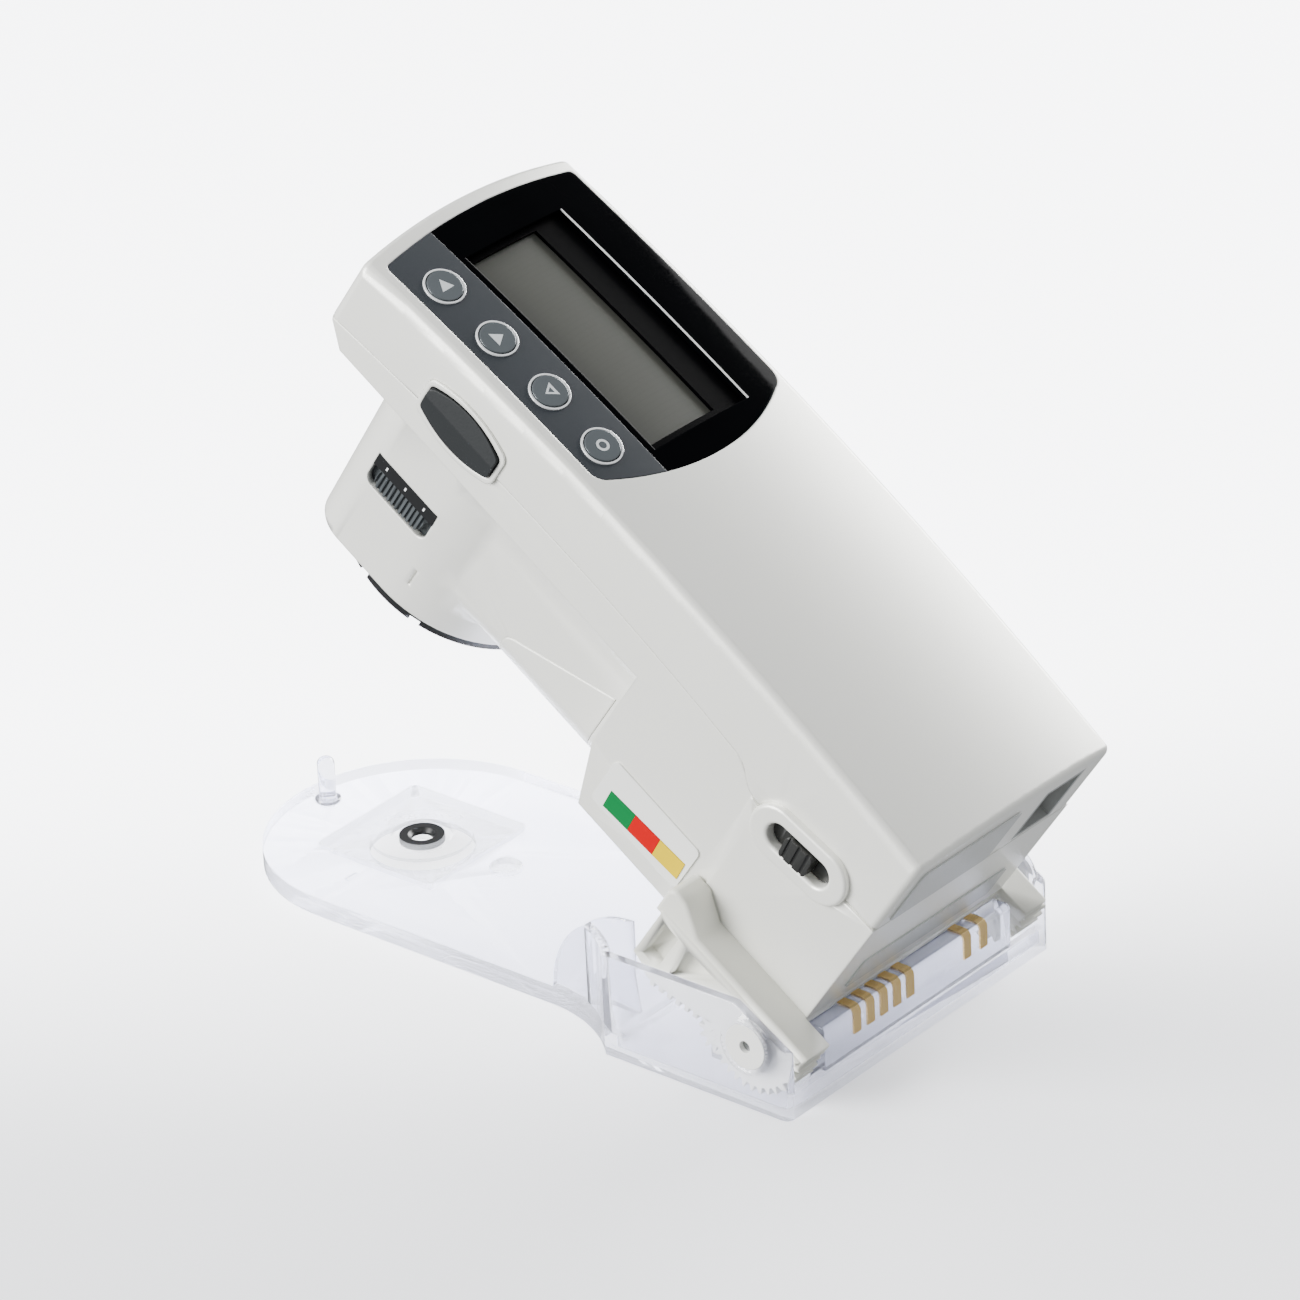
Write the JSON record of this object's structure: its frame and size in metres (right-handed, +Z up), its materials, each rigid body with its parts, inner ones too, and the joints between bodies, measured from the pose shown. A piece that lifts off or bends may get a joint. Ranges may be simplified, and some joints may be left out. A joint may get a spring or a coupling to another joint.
{
  "type": "color meter",
  "caption": "Hand-held color meter with display and round keys, tilted up on a clear hinged base with a target window and charging contacts.",
  "frame": {"origin": "middle of the clear base, on the table it rests on", "axes": "+X towards the rear end with the contacts, +Y from the near side (keys and side button) to the far side, +Z up"},
  "size_m": [0.2055, 0.0938, 0.1668],
  "materials": {
    "clear": "clear, polished",
    "black": "matt",
    "gold": "gold-plated",
    "steel": "bare",
    "cap": "satin",
    "grey": "fine grain",
    "case": "satin paint, pearl on top",
    "window": "polished",
    "display": "unlit display",
    "keypad": "satin",
    "silver": "plated",
    "rubber": "matt",
    "glass": "polished",
    "board": "solder mask",
    "battery": "shrink sleeve",
    "label": "printed film, left bare",
    "green": "printed film",
    "red": "printed film",
    "yellow": "printed film",
    "key": "satin metallic",
    "charcoal": "fine grain",
    "ribbed": "ribbed"
  },
  "bodies": {
    "base": {"base_shell": "clear", "target_insert": "clear", "target_ring": "black", "locating_peg": "clear", "index_plug": "clear", "contact_block": "clear", "contact_strips": "gold", "hinge_pin": "steel", "hub_caps": "cap", "damper_housing": "grey"},
    "meter": {"aperture_glass": "glass", "battery_cover": "case", "battery_pack": "battery", "case_screws": "steel", "display_window": "window", "end_plate": "label", "filter_index": "black", "key_mat": "rubber", "key_rings": "silver", "keypad_panel": "keypad", "lamp_ring": "board", "lcd_frame": "window", "lcd_panel": "display", "lift_spring": "steel", "lower_case": "case", "main_board": "board", "measure_bezel": "case", "measure_plate": "black", "optics_barrel": "black", "port_socket": "steel", "port_well": "black", "rating_plate": "label", "scan_frame": "case", "sensor_block": "black", "skirt_ring": "black", "tint_green": "green", "tint_plate": "label", "tint_red": "red", "tint_yellow": "yellow", "upper_case": "case", "yoke": "grey"},
    "damper": {"damper_pinion": "grey"},
    "key_back": {"key_back": "key"},
    "key_up": {"key_up": "key"},
    "key_down": {"key_down": "key"},
    "key_enter": {"key_enter": "key"},
    "scan_button": {"scan_button": "charcoal"},
    "measure_switch": {"measure_switch": "charcoal"},
    "filter_slider": {"filter_slider": "ribbed"}
  },
  "joints": [
    {"name": "tilt", "type": "hinge", "parent": "base", "child": "meter", "pos_m": [0.0782, 0, 0.0154], "axis": [0, -1, 0], "range_deg": [0, 35], "stiffness_Nm_per_rad": 0.25, "springref_deg": -91.67},
    {"name": "damper_turn", "type": "hinge", "parent": "base", "child": "damper", "pos_m": [0.06373, 0, 0.01013], "axis": [0, -1, 0], "range_deg": [-105, 0]},
    {"name": "key_back_press", "type": "slide", "parent": "meter", "child": "key_back", "axis": [-0.5736, 0, -0.8192], "range_m": [0, 0.0008], "stiffness_N_per_m": 300, "springref_m": -0.001},
    {"name": "key_up_press", "type": "slide", "parent": "meter", "child": "key_up", "axis": [-0.5736, 0, -0.8192], "range_m": [0, 0.0008], "stiffness_N_per_m": 300, "springref_m": -0.001},
    {"name": "key_down_press", "type": "slide", "parent": "meter", "child": "key_down", "axis": [-0.5736, 0, -0.8192], "range_m": [0, 0.0008], "stiffness_N_per_m": 300, "springref_m": -0.001},
    {"name": "key_enter_press", "type": "slide", "parent": "meter", "child": "key_enter", "axis": [-0.5736, 0, -0.8192], "range_m": [0, 0.0008], "stiffness_N_per_m": 300, "springref_m": -0.001},
    {"name": "scan_press", "type": "slide", "parent": "meter", "child": "scan_button", "axis": [0, 1, 0], "range_m": [0, 0.0012], "stiffness_N_per_m": 500, "springref_m": -0.001},
    {"name": "measure_slide", "type": "slide", "parent": "meter", "child": "measure_switch", "axis": [-0.8746, 0, 0.4848], "range_m": [-0.0025, 0.0025], "stiffness_N_per_m": 300},
    {"name": "filter_slide", "type": "slide", "parent": "meter", "child": "filter_slider", "axis": [-0.8192, 0, 0.5736], "range_m": [-0.0018, 0.0018]}
  ],
  "couplings": [
    {"joint": "damper_turn", "follows": "tilt", "ratio": -3}
  ]
}
